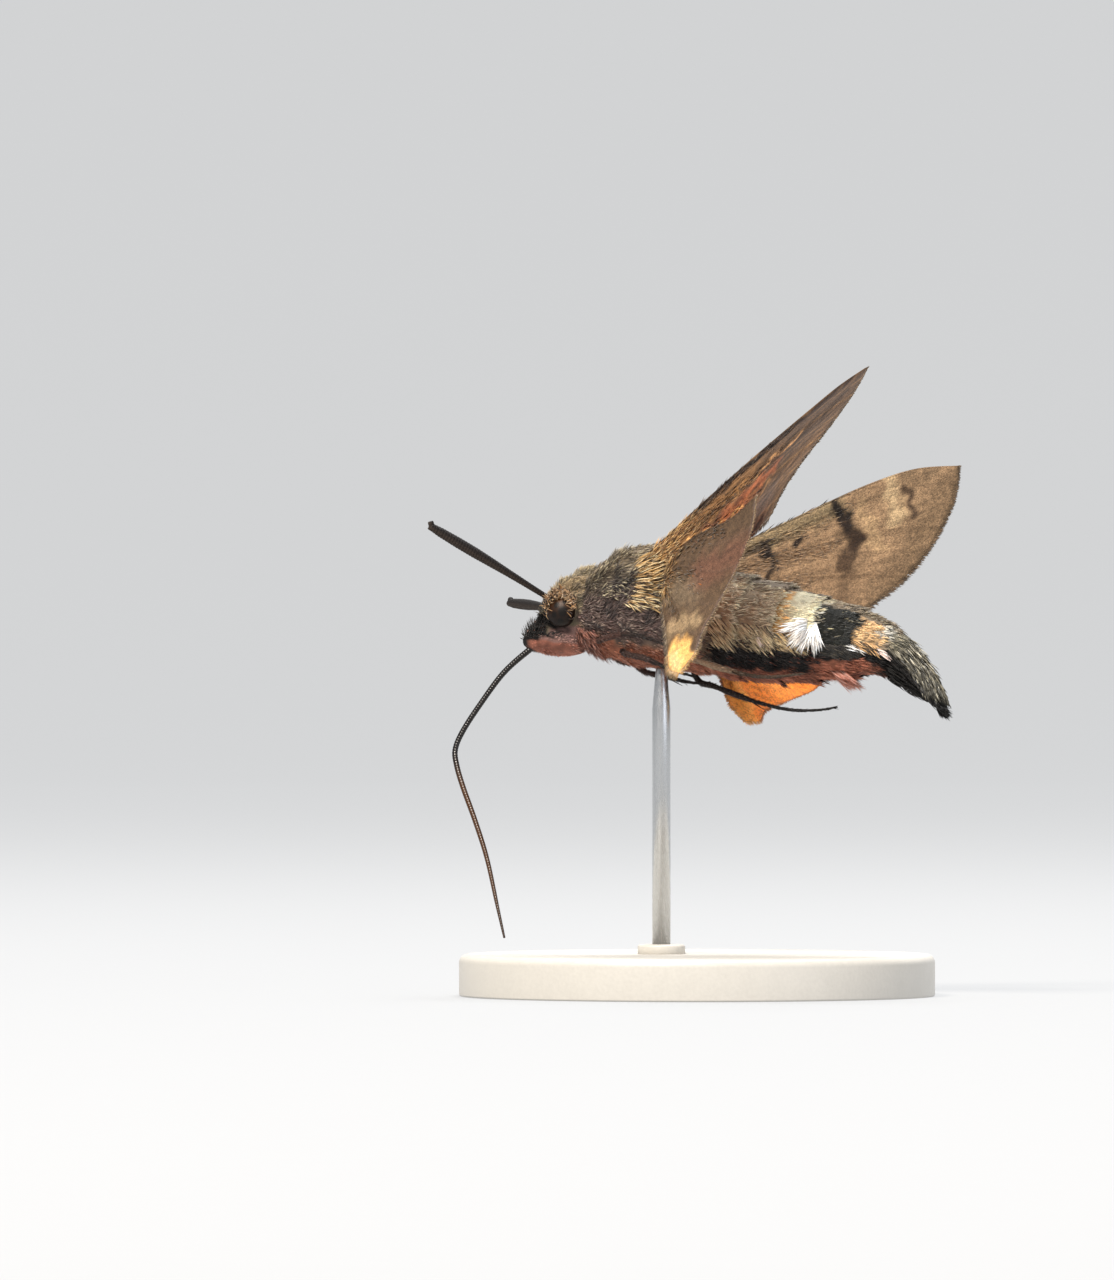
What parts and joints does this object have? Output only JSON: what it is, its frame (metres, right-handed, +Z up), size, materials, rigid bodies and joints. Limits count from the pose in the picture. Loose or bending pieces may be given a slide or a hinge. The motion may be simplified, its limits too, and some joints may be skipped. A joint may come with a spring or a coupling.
{
  "type": "hummingbird hawk moth figure",
  "caption": "Life-size hummingbird hawk moth in hovering flight, wings raised and tongue down, held over a flat round foot by a slim rod.",
  "frame": {"origin": "centre of the underside of the stand's round foot", "axes": "+Z up; the picture looks along +Y with +X to its right, so the head points to -X and a little to +Y"},
  "size_m": [0.0381, 0.034, 0.0449],
  "materials": {
    "coat": "dense grey-brown hair and scales",
    "tail": "black-brown bristly scale locks",
    "belly": "close pale scales",
    "feeler": "dark horn, satin",
    "eye": "dark brown, polished, compound",
    "forewing": "fine grey-brown scales over a veined membrane",
    "hindwing": "fine orange scales over a veined membrane",
    "leg": "dark brown scaled horn",
    "stand_foot": "pale grey, matt",
    "stand_rod": "brushed, pale"
  },
  "bodies": {
    "root": {"head": "coat", "thorax": "coat", "abdomen_1": "coat", "abdomen_2": "coat", "abdomen_3": "coat", "abdomen_4": "coat", "abdomen_5": "coat", "tail_brush": "tail", "eye_left": "eye", "eye_right": "eye", "palp_left": "belly", "palp_right": "belly", "antenna_left": "feeler", "antenna_right": "feeler", "proboscis_upper": "feeler", "proboscis_bend": "feeler", "proboscis_lower": "feeler", "forewing_left": "forewing", "forewing_right": "forewing", "hindwing_left": "hindwing", "hindwing_right": "hindwing", "fore_leg_left": "leg", "fore_leg_right": "leg", "mid_leg_left": "leg", "mid_leg_right": "leg", "hind_leg_left": "leg", "hind_leg_right": "leg", "stand_foot": "stand_foot", "stand_rod": "stand_rod"}
  },
  "joints": []
}
